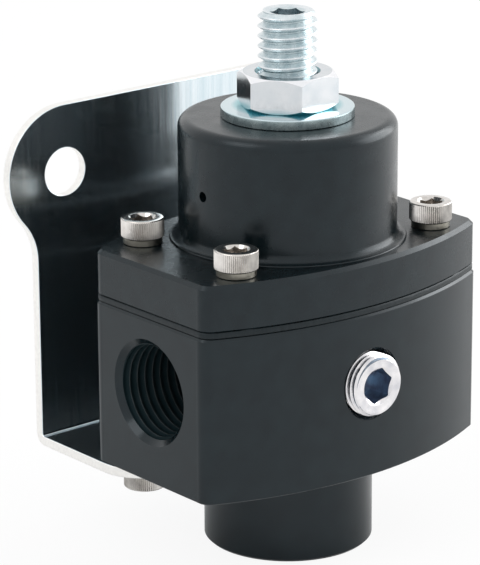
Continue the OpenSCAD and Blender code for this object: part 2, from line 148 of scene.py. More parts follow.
# Pipe threads: tapered pipe threads, 1.5 mm apart, tapped into the inlet and the two outlets
# below their countersunk mouths. They are part of the body's metal, dyed with it, and dull
# from the tap. Their crests are painted paler, a painted highlight along each crest.
WELD = 0.0005 * MM
SAME_PLACE = 0.001 * MM
CUT_PLAY = 0.0001 * MM
PIPE_PITCH, PIPE_TAPER, PIPE_STEPS = 1.5 * MM, 1 / 64, 64
PIPE_WALL, PIPE_CREST_END, PIPE_LEAD_IN = 7.74 * MM, 7.48 * MM, 1.2
PIPE_OUTLINE = [(0, 7.735), (0.1, 7.715), (0.25, 7.63), (0.38, 7.52), (0.43, 7.475), (0.5, 7.45),
                (0.57, 7.475), (0.62, 7.52), (0.75, 7.63), (0.9, 7.715), (1, 7.735)]
PIPE_FLANK, PIPE_CREST = 1, 2
INLET_MOUTH, INLET_DEPTH = -0.305 * MM, 12.9 * MM
OUTLET_MOUTH, OUTLET_DEPTH = -0.905 * MM, 11.9 * MM
OUTLET_X, OUTLET_Z, OUTLET_START = 28.6 * MM, 30.5 * MM, math.radians(70)


def finish_piece(name, bm, body_name, materials, stands_for=(), sharp=35, stretch=None):
    """Turns a bmesh into a smooth-shaded piece that rides on a body. With stretch, it rides on
    no body and stays where it stands."""
    bmesh.ops.recalc_face_normals(bm, faces=bm.faces)
    mesh = bpy.data.meshes.new(name)
    bm.to_mesh(mesh)
    bm.free()
    for material in materials:
        mesh.materials.append(material)
    mesh.shade_smooth()
    mesh.set_sharp_from_angle(angle=math.radians(sharp))
    piece = bpy.data.objects.new(name, mesh)
    bpy.context.scene.collection.objects.link(piece)
    even = piece.modifiers.new("even_shading", "WEIGHTED_NORMAL")
    even.keep_sharp = True
    if stretch:
        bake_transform(piece)
    else:
        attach(piece, body_name)
    if stands_for:
        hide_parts(*stands_for)
    return piece


def add_at(bm, part, place):
    """Moves a bmesh to its place and adds it to a larger one."""
    bmesh.ops.transform(part, matrix=place, verts=part.verts)
    mesh = bpy.data.meshes.new("part")
    part.to_mesh(mesh)
    part.free()
    bm.from_mesh(mesh)
    bpy.data.meshes.remove(mesh)


def wind_thread(bm, outline, pitch, low, high, steps, start_angle=0):
    """Helical thread surface round Z, cut off at low and high. Outline gives its radius in mm
    at shares of one pitch."""
    below = low - 2 * pitch
    turns = math.ceil((high - below) / pitch) + 2
    chain = []
    for share, millimetres in outline:
        radius = millimetres * MM
        chain.append(bm.verts.new((radius * math.cos(start_angle), radius * math.sin(start_angle),
                                   below + share * pitch)))
    links = [bm.edges.new(pair) for pair in zip(chain, chain[1:])]
    bmesh.ops.spin(bm, geom=chain + links, cent=(0, 0, 0), axis=(0, 0, 1),
                   dvec=(0, 0, pitch / steps), angle=FULL_TURN * turns, steps=steps * turns)
    bmesh.ops.remove_doubles(bm, verts=bm.verts, dist=WELD)
    for height, outer in ((low, False), (high, True)):
        bmesh.ops.bisect_plane(bm, geom=bm.verts[:] + bm.edges[:] + bm.faces[:], dist=CUT_PLAY,
                               plane_co=(0, 0, height), plane_no=(0, 0, 1),
                               clear_outer=outer, clear_inner=not outer)


def rim_at(bm, height):
    """Open edges of the mesh that lie at a height."""
    return [e for e in bm.edges
            if e.is_boundary and all(abs(v.co.z - height) < SAME_PLACE for v in e.verts)]


def reach(vert):
    """Distance of a vertex from the Z axis."""
    return math.hypot(vert.co.x, vert.co.y)


def set_radius(vert, radius):
    """Moves a vertex straight out from the Z axis, or in, to a radius."""
    scale = radius / reach(vert)
    vert.co.x *= scale
    vert.co.y *= scale


def grow(bm, rim, radius, height, finish=0):
    """Extrudes a rim to a new ring. Radius and height are numbers, or functions of the angle."""
    made = bmesh.ops.extrude_edge_only(bm, edges=rim)["geom"]
    for face in made:
        if isinstance(face, bmesh.types.BMFace):
            face.material_index = finish
    fresh = {v for v in made if isinstance(v, bmesh.types.BMVert)}
    for vert in fresh:
        angle = math.atan2(vert.co.y, vert.co.x)
        set_radius(vert, radius(angle) if callable(radius) else radius)
        vert.co.z = height(angle) if callable(height) else height
    return [e for e in made if isinstance(e, bmesh.types.BMEdge) and fresh.issuperset(e.verts)]


def port_thread(bm, mouth, depth, place):
    """Threaded lining of one port, made with the port's face on z = 0 and moved to its place."""
    lining = bmesh.new()
    wind_thread(lining, PIPE_OUTLINE, PIPE_PITCH, -depth, mouth, PIPE_STEPS)
    for vert in lining.verts:
        rise = vert.co.z - mouth
        set_radius(vert, max(reach(vert) + rise * PIPE_TAPER, PIPE_WALL + rise * PIPE_LEAD_IN))
    for face in lining.faces:
        taper = (face.calc_center_median().z - mouth) * PIPE_TAPER
        on_crest = max(reach(v) for v in face.verts) - taper < PIPE_CREST_END
        face.material_index = PIPE_CREST if on_crest else PIPE_FLANK
    grow(lining, rim_at(lining, -depth), PIPE_WALL, -depth, PIPE_FLANK)
    bmesh.ops.bridge_loops(lining, edges=rim_at(lining, mouth) + rim_at(lining, -depth))
    add_at(bm, lining, place)


def mottled(name, metallic, roughness, blot, dark, pale, grain, strength, depth=0.01 * MM):
    """Material between two tones; blot and grain each give a cloud's size and any stretch."""
    material, tree, shader = start_material(name, metallic, roughness)
    mottle(tree, shader, cloud(tree, *blot), dark, pale)
    raise_surface(tree, shader, (cloud(tree, *grain), strength, depth))
    return material, tree, shader


def tapped(name, dark, pale):
    """Dyed thread, dull from the tap."""
    material, _, shader = mottled(name, metallic=0, roughness=0.4, blot=(2 * MM,), dark=dark,
                                  pale=pale, grain=(0.2 * MM,), strength=0.2)
    shader.inputs["Specular Tint"].default_value = (0.12, 0.16, 0.18, 1)
    return material


threads = bmesh.new()
port_thread(threads, INLET_MOUTH, INLET_DEPTH, Matrix.Rotation(math.pi, 4, "X"))
for side in (-1, 1):
    port_thread(threads, OUTLET_MOUTH, OUTLET_DEPTH,
                Matrix.Translation((side * OUTLET_X, 0, OUTLET_Z))
                @ Matrix.Rotation(side * math.pi / 2, 4, "Y")
                @ Matrix.Rotation(OUTLET_START, 4, "Z"))
# the crest colour is paler than the flanks: a painted highlight along the crests
thread_finish = [body_finish,
                 tapped("black_flanks", (0.006, 0.0140, 0.0165), (0.0095, 0.0190, 0.0225)),
                 tapped("black_crests_painted_highlight", (0.045, 0.056, 0.060), (0.070, 0.083, 0.088))]
finish_piece("port_threads", threads, "housing", thread_finish)


# Gauge port plug: a tapered 27-to-the-inch pipe plug of zinc plated steel, screwed into the
# gauge port with two threads left showing. Its face is dished round a hexagon socket.
PLUG_PITCH, PLUG_STEPS, PLUG_START = 25.4 / 27 * MM, 48, math.radians(316)
PLUG_EDGE, PLUG_END = -0.06 * MM, -7 * MM
PLUG_CONE, PLUG_CONE_SLOPE, PLUG_GROOVE_END = 4.58 * MM, 0.9, 4.7 * MM
PLUG_OUTLINE = [(0, 4.32), (0.06, 4.34), (0.24, 4.66), (0.4, 4.97), (0.46, 5.07), (0.54, 5.07),
                (0.6, 4.97), (0.76, 4.66), (0.94, 4.34), (1, 4.32)]
PLUG_FACE = [(4.31, 0), (4.2, -0.02), (3.9, -0.08), (3.6, -0.1), (3.35, -0.1), (3.2, -0.12)]
PLUG_SOCKET, PLUG_GROOVE = 1, 2
PLUG_PLACE = (0, -21.82 * MM, 30.8 * MM)


def zinc(name, pale, tint, roughness, size=3 * MM):
    """Bright zinc plate with the faint blue of its passivation."""
    material, tree, shader = start_material(name, metallic=1)
    mottle(tree, shader, cloud(tree, size), tint, pale)
    roughen(tree, shader, cloud(tree, 0.8 * MM, detail=5), roughness * 0.75, roughness * 1.35)
    raise_surface(tree, shader, (cloud(tree, 0.5 * MM, detail=4), 0.12, 0.02 * MM))
    return material


def hexagon(across, corner_angle):
    """Radius of a hexagon's side at an angle, given across its flats."""
    def radius(angle):
        return across / 2 / math.cos((angle - corner_angle) % (math.pi / 3) - math.pi / 6)
    return radius


def sink_socket(bm, rim, across, corner_angle, mouth, top, floor, slope, finish=0):
    """Countersunk hexagon socket: a ring at the mouth's radius, a cone, six flats and a floor."""
    flats = hexagon(across, corner_angle)
    rim = grow(bm, rim, mouth, top)
    rim = grow(bm, rim, flats, lambda angle: top - (mouth - flats(angle)) * slope)
    rim = grow(bm, rim, flats, floor, finish)
    for face in bmesh.ops.contextual_create(bm, geom=rim)["faces"]:
        face.material_index = finish


plug = bmesh.new()
wind_thread(plug, PLUG_OUTLINE, PLUG_PITCH, PLUG_END, PLUG_EDGE, PLUG_STEPS, PLUG_START)
for vert in plug.verts:
    set_radius(vert, min(reach(vert), PLUG_CONE - PLUG_CONE_SLOPE * vert.co.z))
# faces in the thread's grooves take a dark colour: painted shade in the grooves
for face in plug.faces:
    if max(reach(v) for v in face.verts) < PLUG_GROOVE_END:
        face.material_index = PLUG_GROOVE
rim = rim_at(plug, PLUG_EDGE)
for r, z in PLUG_FACE:
    rim = grow(plug, rim, r * MM, z * MM)
sink_socket(plug, rim, across=5.2 * MM, corner_angle=math.radians(74), mouth=3.08 * MM,
            top=-0.14 * MM, floor=-4.4 * MM, slope=0.7, finish=PLUG_SOCKET)
bmesh.ops.contextual_create(plug, geom=rim_at(plug, PLUG_END))
bmesh.ops.transform(plug, verts=plug.verts, matrix=Matrix.Translation(PLUG_PLACE)
                    @ Matrix.Rotation(math.pi / 2, 4, "X"))
# the socket is coloured dark blue-grey: painted shade inside the hexagon socket
socket_shade_finish, tree, shader = start_material("socket_painted_shade", metallic=1, roughness=0.4)
mottle(tree, shader, cloud(tree, 1.5 * MM), dark=(0.22, 0.24, 0.31), pale=(0.32, 0.43, 0.55),
       start=0.35, end=0.65)
raise_surface(tree, shader, (cloud(tree, 0.2 * MM, (1, 0.1, 1)), 0.2, 0.01 * MM))
plug_finish = [zinc("zinc_on_plug", (0.88, 0.86, 0.86), (0.62, 0.62, 0.65), 0.2, 2.2 * MM),
               socket_shade_finish,
               zinc("zinc_grooves_painted_shade", (0.22, 0.26, 0.31), (0.10, 0.13, 0.17), 0.3, 1 * MM)]
finish_piece("pipe_plug", plug, "housing", plug_finish, ["gauge_port_plug"])


# Valve seat, poppet and rivet: turned from brass bar. The seat is screwed into the chamber
# floor, the poppet slides under it, and the rivet clamps the middle of the diaphragm.
# Only a glimpse shows, up the inlet.
brass, _, _ = mottled("turned_brass", metallic=1, roughness=0.25, blot=(2 * MM,),
                      dark=(0.62, 0.44, 0.18), pale=(0.80, 0.61, 0.30),
                      grain=(0.2 * MM, (0.02, 0.02, 1)), strength=0.2)
for node in ("valve_seat", "valve_poppet", "diaphragm_rivet"):
    finish_node(node, brass)


# Seals: a ring squeezed under the seat's head and a disc pressed into the poppet's face.
# Both are moulded in black nitrile rubber.
rubber, _, _ = mottled("moulded_rubber", metallic=0, roughness=0.55, blot=(1 * MM,),
                       dark=(0.012, 0.012, 0.013), pale=(0.026, 0.026, 0.027),
                       grain=(0.12 * MM,), strength=0.3)
for node in ("seat_o_ring", "poppet_seal"):
    finish_node(node, rubber)


# Springs: round music wire, coiled with one closed turn at each end. The small one shuts the
# poppet, and the large one presses the diaphragm down from under the adjusting screw.
# The large one is in two pieces, because its ends move with different bodies.
SPRING_STEPS, WIRE_SIDES = 40, 12
VALVE_RADIUS, VALVE_LOW, VALVE_WIRE, VALVE_RISE = 2.9 * MM, 16.5 * MM, 0.7 * MM, 0.85 * MM
MAIN_RADIUS, MAIN_LOW, MAIN_WIRE, MAIN_RISE = 8.2 * MM, 44.7 * MM, 1.6 * MM, 3.267 * MM


def wind_spring(name, node, radius, wire, low, stages, body_name, stretch, start=0):
    """Spring wire wound in stages of turns and the climb of one turn. It rides on no body and
    stays where it stands."""
    coil = bmesh.new()
    bmesh.ops.create_circle(coil, segments=WIRE_SIDES, radius=wire / 2)
    bmesh.ops.transform(coil, verts=coil.verts, matrix=Matrix.Rotation(start, 4, "Z")
                        @ Matrix.Translation((radius, 0, low + wire / 2))
                        @ Matrix.Rotation(math.pi / 2, 4, "X"))
    bmesh.ops.contextual_create(coil, geom=coil.edges[:])
    section = coil.edges[:] + coil.verts[:]
    for count, climb in stages:
        section = bmesh.ops.spin(coil, geom=section, cent=(0, 0, 0), axis=(0, 0, 1),
                                 dvec=(0, 0, climb / SPRING_STEPS), angle=FULL_TURN * count,
                                 steps=round(SPRING_STEPS * count))["geom_last"]
    end = [e for e in section if isinstance(e, bmesh.types.BMEdge)]
    bmesh.ops.contextual_create(coil, geom=end)
    other, from_z, to_z = stretch
    finish_piece(name, coil, body_name, [wire_finish], [node],
                 stretch=(other, (0, 0, from_z), (0, 0, to_z)))


wire_finish, _, _ = mottled("drawn_wire", metallic=1, roughness=0.32, blot=(1.5 * MM,),
                            dark=(0.36, 0.37, 0.39), pale=(0.54, 0.55, 0.56),
                            grain=(0.15 * MM,), strength=0.15)
wind_spring("valve_spring_coil", "valve_spring", VALVE_RADIUS, VALVE_WIRE, VALVE_LOW,
            ((1, VALVE_WIRE), (2, VALVE_RISE), (1, VALVE_WIRE)),
            "housing", ("poppet", 17.2 * MM, 19.6 * MM))
wind_spring("pressure_spring_foot", "pressure_spring", MAIN_RADIUS, MAIN_WIRE, MAIN_LOW,
            ((1, MAIN_WIRE), (0.5, MAIN_RISE)),
            "diaphragm_stack", ("housing", 46.3 * MM, 47.9 * MM))
wind_spring("pressure_spring_coil", "pressure_spring", MAIN_RADIUS, MAIN_WIRE,
            MAIN_LOW + MAIN_WIRE + MAIN_RISE / 2, ((2.5, MAIN_RISE), (1, MAIN_WIRE)),
            "housing", ("button", 49.55 * MM, 57.7 * MM), start=math.pi)


# Diaphragm: a sheet of nitrile-coated fabric cut to the body's outline. Its rim is clamped
# and shows as the band in the seam. Its middle lifts with the plates, and the moulded fold
# between them is built in wedges that stay where they stand.
CLAMPED_FROM = 15.1 * MM
MIDDLE_PROFILE = [(2.5, 42.4), (12.5, 42.4), (11.74, 43.5), (2.5, 43.5)]
FOLD_PROFILE = [(11.74, 43.5), (11.99, 43.81), (12.4, 44.13), (12.88, 44.33), (13.4, 44.4),
                (13.92, 44.33), (14.4, 44.13), (14.81, 43.81), (15.06, 43.5), (14.3, 42.4),
                (14.21, 42.79), (13.96, 43.1), (13.6, 43.28), (13.2, 43.28), (12.84, 43.1),
                (12.59, 42.79), (12.5, 42.4)]
FOLD_WEDGES, WEDGE_STEPS = 12, 8
FOLD_STARTS, FOLD_ENDS, FOLD_Z = 12.55 * MM, 13.75 * MM, 43 * MM
RING_STEPS = FOLD_WEDGES * WEDGE_STEPS


def turn_ring(bm, profile, steps):
    """Full ring round Z, turned from a closed profile of radii and heights in mm."""
    spots = [bm.verts.new((r * MM, 0, z * MM)) for r, z in profile]
    loop = [bm.edges.new(pair) for pair in zip(spots, spots[1:] + spots[:1])]
    bmesh.ops.spin(bm, geom=spots + loop, cent=(0, 0, 0), axis=(0, 0, 1), angle=FULL_TURN,
                   steps=steps, use_merge=True)
    bmesh.ops.remove_doubles(bm, verts=bm.verts, dist=WELD)


def turn_wedge(bm, profile, angle, middle, steps):
    """Closed wedge of such a ring, with its middle at an angle round Z."""
    spots = [bm.verts.new((r * MM, 0, z * MM)) for r, z in profile]
    loop = [bm.edges.new(pair) for pair in zip(spots, spots[1:] + spots[:1])]
    bmesh.ops.contextual_create(bm, geom=loop)
    last = bmesh.ops.spin(bm, geom=spots + loop, cent=(0, 0, 0), axis=(0, 0, 1), angle=angle,
                          steps=steps)["geom_last"]
    end = [e for e in last if isinstance(e, bmesh.types.BMEdge)]
    bmesh.ops.contextual_create(bm, geom=end)
    bmesh.ops.rotate(bm, verts=bm.verts, cent=(0, 0, 0),
                     matrix=Matrix.Rotation(middle - angle / 2, 3, "Z"))
    bmesh.ops.remove_doubles(bm, verts=bm.verts, dist=WELD)


def finish_sheet(name, bm, body_name, stretch=None):
    """Finishes one piece of the diaphragm."""
    finish_piece(name, bm, body_name, [sheet], ["diaphragm"], stretch=stretch)


sheet, _, shader = mottled("coated_fabric", metallic=0, roughness=0.4,
                           blot=(0.5 * MM, (1, 1, 0.3)),
                           dark=(0.003, 0.006, 0.007), pale=(0.010, 0.014, 0.016),
                           grain=(0.3 * MM, (1, 1, 0.2)), strength=0.25, depth=0.02 * MM)
shader.inputs["Specular Tint"].default_value = (0.5, 0.56, 0.6, 1)
clamped = bmesh.new()
clamped.from_mesh(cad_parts["diaphragm"].data)
bmesh.ops.remove_doubles(clamped, verts=clamped.verts, dist=SAME_PLACE)
inside = [f for f in clamped.faces if all(reach(v) < CLAMPED_FROM for v in f.verts)]
bmesh.ops.delete(clamped, geom=inside, context="FACES")
bmesh.ops.bridge_loops(clamped, edges=[e for e in clamped.edges if e.is_boundary])
finish_sheet("diaphragm_rim", clamped, "housing")
disc = bmesh.new()
turn_ring(disc, MIDDLE_PROFILE, RING_STEPS)
finish_sheet("diaphragm_middle", disc, "diaphragm_stack")
for wedge in range(FOLD_WEDGES):
    turn = FULL_TURN * wedge / FOLD_WEDGES
    inner, outer = (Vector((r * math.cos(turn), r * math.sin(turn), FOLD_Z))
                    for r in (FOLD_STARTS, FOLD_ENDS))
    fold = bmesh.new()
    turn_wedge(fold, FOLD_PROFILE, FULL_TURN / FOLD_WEDGES, turn, WEDGE_STEPS)
    finish_sheet(f"diaphragm_fold_{wedge}", fold, "diaphragm_stack", ("housing", inner, outer))


# Diaphragm plates and spring button: pressed and turned steel with bright zinc plate.
# The plates are riveted to the diaphragm, and the button sits loose on top of the spring.
plated = zinc("zinc_on_inner", (0.78, 0.80, 0.82), (0.64, 0.69, 0.72), 0.25)
for node in ("diaphragm_top_plate", "diaphragm_bottom_plate", "spring_button"):
    finish_node(node, plated)


# Bonnet: turned and milled from the same aluminium, with fine turning marks round its tower.
# Its flange clamps the diaphragm, and a small hole in the tower vents the spring chamber.
bonnet_finish = anodised("black_turned", lay=(0.02, 0.02, 1), smooth=0.22, rough=0.32)
finish_node("bonnet", bonnet_finish)


# Cover screws: four stainless socket head screws through the flange. The head's upper part
# is knurled over a smooth, slightly narrower band.
KNURL_RIDGES, KNURL_RADIUS, KNURL_DEPTH = 64, 3.43, 0.17
KNURL_LOW, KNURL_HIGH = 1.22 * MM, 3.94 * MM
SHANK_END, SHANK, SHANK_CHAMFER = 1.75, 2.06, 0.3
HEAD_FOOT = [(3.0, 0), (3.12, 0.12), (3.12, 1.0), (3.2, 1.06)]
HEAD_TOP = [(3.3, 4.05), (3.22, 4.13), (3.1, 4.17), (2.25, 4.17)]
KNURLED, BAND_SHADE, SHADED_FLANK = 1, 2, 3
COVER_X, COVER_Y, COVER_Z, COVER_SHANK = 20.3 * MM, 11.5 * MM, 50.8 * MM, 19 * MM
COVER_TURNS = {(-1, -1): 56, (-1, 1): 10, (1, -1): 41, (1, 1): 30}


def steel(name, dark, pale, smooth, rough):
    """Stainless steel between two tones and two roughnesses."""
    material, tree, shader = mottled(name, metallic=1, roughness=rough, blot=(1.2 * MM,),
                                     dark=dark, pale=pale, grain=(0.12 * MM,), strength=0.15)
    roughen(tree, shader, cloud(tree, 0.5 * MM), smooth, rough)
    return material


def knurl(angle):
    """Radius of the knurled head, ridge and groove in turn."""
    groove = round(angle / math.pi * KNURL_RIDGES) % 2
    return (KNURL_RADIUS - KNURL_DEPTH * groove) * MM


def cap_screw(bm, place, shank, key_turn):
    """Socket head screw with its head standing on z = 0, moved to its place."""
    screw = bmesh.new()
    bmesh.ops.create_circle(screw, segments=2 * KNURL_RIDGES, radius=SHANK_END * MM,
                            cap_ends=True)
    bmesh.ops.translate(screw, vec=(0, 0, -shank), verts=screw.verts)
    rim = screw.edges[:]
    # the shank and the smooth band under the knurl take a dark colour: painted shade under the
    # knurl
    for r, z in [(SHANK, SHANK_CHAMFER - shank / MM), (SHANK, 0)] + HEAD_FOOT:
        rim = grow(screw, rim, r * MM, z * MM, BAND_SHADE)
    rim = grow(screw, rim, knurl, KNURL_LOW)
    rim = grow(screw, rim, knurl, KNURL_HIGH, KNURLED)
    # one flank of each knurl ridge is coloured paler and the next darker: painted light and shade
    # on the ridges
    for face in screw.faces:
        middle = face.calc_center_median()
        facet = math.floor(math.atan2(middle.y, middle.x) / math.pi * KNURL_RIDGES)
        if face.material_index == KNURLED and facet % 2:
            face.material_index = SHADED_FLANK
    for r, z in HEAD_TOP:
        rim = grow(screw, rim, r * MM, z * MM)
    sink_socket(screw, rim, across=3.57 * MM, corner_angle=key_turn, mouth=2.2 * MM,
                top=4.16 * MM, floor=2.2 * MM, slope=1.3)
    add_at(bm, screw, place)


stainless = [
    steel("bright_stainless", (0.58, 0.55, 0.52), (0.72, 0.69, 0.66), 0.10, 0.2),
    steel("knurled_stainless_painted_light", (0.72, 0.69, 0.66), (0.90, 0.87, 0.84), 0.26, 0.4),
    steel("stainless_band_painted_shade", (0.24, 0.23, 0.195), (0.36, 0.345, 0.30), 0.3, 0.42),
    steel("stainless_flank_painted_shade", (0.36, 0.345, 0.33), (0.54, 0.52, 0.49), 0.3, 0.42)]
covers = bmesh.new()
for (x, y), degrees in COVER_TURNS.items():
    cap_screw(covers, Matrix.Translation((x * COVER_X, y * COVER_Y, COVER_Z)), COVER_SHANK,
              math.radians(degrees))
finish_piece("cover_cap_screws", covers, "housing", stainless,
             ["cover_screws"])


# Flat washer: punched from steel strip, so its upper edge is rolled over, and zinc plated.
# It lies on the tower's roof under the jam nut, and its middle is painted darker, painted shade
# under the nut.
WASHER_Z, WASHER_STEPS = 70.4, 128
WASHER_PROFILE = [(5.2, 0), (10.45, 0), (10.6, 0.12), (10.6, 1.3), (10.55, 1.46),
                  (10.42, 1.56), (10.25, 1.6), (5.35, 1.6), (5.2, 1.5)]
NUT_SHADE_TO, NUT_SHADE_ENDS = 7.4 * MM, 9.0 * MM
WASHER_FACE, WASHER_RIM, UPRIGHT = 0, 1, 0.3

washer = bmesh.new()
turn_ring(washer, [(r, WASHER_Z + z) for r, z in WASHER_PROFILE], WASHER_STEPS)
washer.normal_update()
for face in washer.faces:
    face.material_index = WASHER_RIM if abs(face.normal.z) < UPRIGHT else WASHER_FACE
washer_finish, tree, shader = start_material("zinc_on_washer", metallic=1)
place = tree.nodes.new("ShaderNodeTexCoord")
flatten = tree.nodes.new("ShaderNodeMapping")
flatten.inputs["Scale"].default_value = (1, 1, 0)
from_axis = tree.nodes.new("ShaderNodeVectorMath")
from_axis.operation = "LENGTH"
tree.links.new(place.outputs["Object"], flatten.inputs["Vector"])
tree.links.new(flatten.outputs["Vector"], from_axis.inputs[0])
# darker towards the middle: painted shade under the nut
colour(tree, shader, spread(tree, from_axis.outputs["Value"], 0, 1, NUT_SHADE_TO, NUT_SHADE_ENDS),
       (0, (0.12, 0.40, 0.45)), (0.5, (0.32, 0.56, 0.61)), (1, (0.61, 0.72, 0.755)))
roughen(tree, shader, cloud(tree, 0.8 * MM, detail=5), 0.13, 0.24)
raise_surface(tree, shader, (cloud(tree, 0.5 * MM, detail=4), 0.12, 0.02 * MM))
# the washer's upright rim takes a darker colour than its faces: painted shade on the rim
rim_shade_finish = zinc("zinc_rim_painted_shade", (0.34, 0.41, 0.42), (0.20, 0.26, 0.275), 0.26, 1.5 * MM)
finish_piece("plated_washer", washer, "housing", [washer_finish, rim_shade_finish],
             ["flat_washer"])


# Jam nut: a thin hexagon nut of zinc plated steel, 9/16 in across its flats and chamfered at
# both ends. It turns on the adjusting screw and locks it against the washer.
NUT_BASE, NUT_HEIGHT = 72 * MM, 5.5 * MM
NUT_TOP = NUT_BASE + NUT_HEIGHT
NUT_ACROSS, NUT_TURN, NUT_STEPS = 14.29 * MM, math.radians(5), 144
NUT_BORE, NUT_CHAMFER, NUT_CHAMFER_SLOPE = 4.73 * MM, 7.045 * MM, 0.65
FOOT_SINK, FOOT_SINK_DEPTH = 5.3 * MM, 0.6 * MM
TOP_SINK, TOP_SINK_DEPTH = 5.2 * MM, 0.5 * MM
SIDES, SINK_SHADE, CHAMFER_HIGHLIGHT = 0, 1, 2
nut_sides = hexagon(NUT_ACROSS, NUT_TURN)


def nut_drop(angle):
    """Depth of the chamfer where it meets the hexagon's side at an angle."""
    return max(nut_sides(angle) - NUT_CHAMFER, 0) * NUT_CHAMFER_SLOPE


nut = bmesh.new()
bmesh.ops.create_circle(nut, segments=NUT_STEPS, radius=NUT_BORE)
bmesh.ops.transform(nut, verts=nut.verts,
                    matrix=Matrix.Translation((0, 0, NUT_BASE + FOOT_SINK_DEPTH))
                    @ Matrix.Rotation(NUT_TURN, 4, "Z"))
bore = nut.edges[:]
rim = bore
for radius, height, finish in ((FOOT_SINK, NUT_BASE, SIDES),
                               (NUT_CHAMFER, NUT_BASE, SIDES),
                               (nut_sides, lambda angle: NUT_BASE + nut_drop(angle), CHAMFER_HIGHLIGHT),
                               (nut_sides, lambda angle: NUT_TOP - nut_drop(angle), SIDES),
                               (NUT_CHAMFER, NUT_TOP, CHAMFER_HIGHLIGHT),
                               (TOP_SINK, NUT_TOP, SIDES),
                               (NUT_BORE, NUT_TOP - TOP_SINK_DEPTH, SINK_SHADE)):
    rim = grow(nut, rim, radius, height, finish)
bmesh.ops.bridge_loops(nut, edges=rim + bore)
nut_finish = [zinc("zinc_on_nut", (0.695, 0.715, 0.735), (0.60, 0.64, 0.67), 0.16),
              # the top countersink round the screw is coloured dark teal: painted shade in the
              # gap
              zinc("zinc_nut_sink_painted_shade", (0.24, 0.40, 0.44), (0.10, 0.22, 0.25), 0.3),
              # the chamfers are coloured near white: a painted highlight on them
              zinc("zinc_chamfer_painted_highlight", (0.93, 0.93, 0.95), (0.86, 0.87, 0.90), 0.2)]
finish_piece("hexagon_jam_nut", nut, "nut", nut_finish, ["jam_nut"], sharp=20)


# Adjusting screw: a 3/8-16 socket set screw with a rolled thread, zinc plated. It turns in
# the bonnet's threaded roof and presses on the spring button.
SCREW_PITCH, SCREW_STEPS, SCREW_START = 25.4 / 16 * MM, 48, math.radians(170)
SCREW_TIP, SCREW_HEAD = 61.8 * MM, 87.2 * MM
SCREW_TIP_RADIUS, SCREW_HEAD_RADIUS = 3.7 * MM, 3.97 * MM
SCREW_ROOT_END, SCREW_CREST_FROM = 3.92 * MM, 4.5 * MM
SCREW_OUTLINE = [(0, 3.78), (0.06, 3.80), (0.12, 3.90), (0.38, 4.52), (0.42, 4.62), (0.46, 4.68),
                 (0.5, 4.7), (0.54, 4.68), (0.58, 4.62), (0.62, 4.52), (0.88, 3.90), (0.94, 3.80),
                 (1, 3.78)]
SCREW_LIP = [(3.86, 0.02), (3.6, 0.03), (3.45, 0.06), (3.2, 0.12), (2.95, 0.16)]
SCREW_FLANK, SCREW_CREST, SCREW_ROOT, SCREW_SOCKET = range(4)

screw = bmesh.new()
wind_thread(screw, SCREW_OUTLINE, SCREW_PITCH, SCREW_TIP, SCREW_HEAD, SCREW_STEPS, SCREW_START)
for vert in screw.verts:
    set_radius(vert, min(reach(vert), SCREW_HEAD_RADIUS + (SCREW_HEAD - vert.co.z),
                         SCREW_TIP_RADIUS + (vert.co.z - SCREW_TIP)))
# crest faces and the lip round the socket are coloured paler, root faces darker: painted
# highlight on the crests, painted shade in the roots
for face in screw.faces:
    radii = [reach(v) for v in face.verts]
    if min(radii) > SCREW_CREST_FROM:
        face.material_index = SCREW_CREST
    elif max(radii) < SCREW_ROOT_END:
        face.material_index = SCREW_ROOT
    else:
        face.material_index = SCREW_FLANK
rim = rim_at(screw, SCREW_HEAD)
for r, drop in SCREW_LIP:
    rim = grow(screw, rim, r * MM, SCREW_HEAD - drop * MM, SCREW_CREST)
# the socket takes a darker colour: painted shade inside it
sink_socket(screw, rim, across=4.76 * MM, corner_angle=math.radians(20), mouth=2.85 * MM,
            top=SCREW_HEAD - 0.18 * MM, floor=SCREW_HEAD - 2.2 * MM, slope=0.6,
            finish=SCREW_SOCKET)
bmesh.ops.contextual_create(screw, geom=rim_at(screw, SCREW_TIP))
screw_finish = [
    zinc("zinc_on_flanks", (0.73, 0.79, 0.81), (0.55, 0.64, 0.67), 0.28, 1.2 * MM),
    zinc("zinc_crests_painted_highlight", (0.82, 0.85, 0.87), (0.64, 0.71, 0.74), 0.28, 1.2 * MM),
    zinc("zinc_roots_painted_shade", (0.52, 0.60, 0.62), (0.36, 0.44, 0.47), 0.3, 1.2 * MM),
    zinc("zinc_socket_painted_shade", (0.52, 0.60, 0.63), (0.34, 0.41, 0.44), 0.3, 1.2 * MM)]
finish_piece("threaded_adjuster", screw, "adjuster", screw_finish,
             ["adjusting_screw"], sharp=50)


# Mounting bracket: blanked from 1.6 mm sheet steel, bent once and bright zinc plated.
# Rolling marks run up the sheet, and its foot is screwed under the body.
PLATE_FROM_Z, FOOT_TO_Y = 17.6 * MM, 26 * MM
ROLLED = (1, 1, 0.025)
SHEET_FACE, CUT_EDGE = 0, 1
SQUARE_ON, EDGE_ON, FLAT_WITHIN = 0.7, 0.5, math.radians(0.5)
BROKEN_EDGE, BROKEN_FROM = 0.14 * MM, math.radians(40)

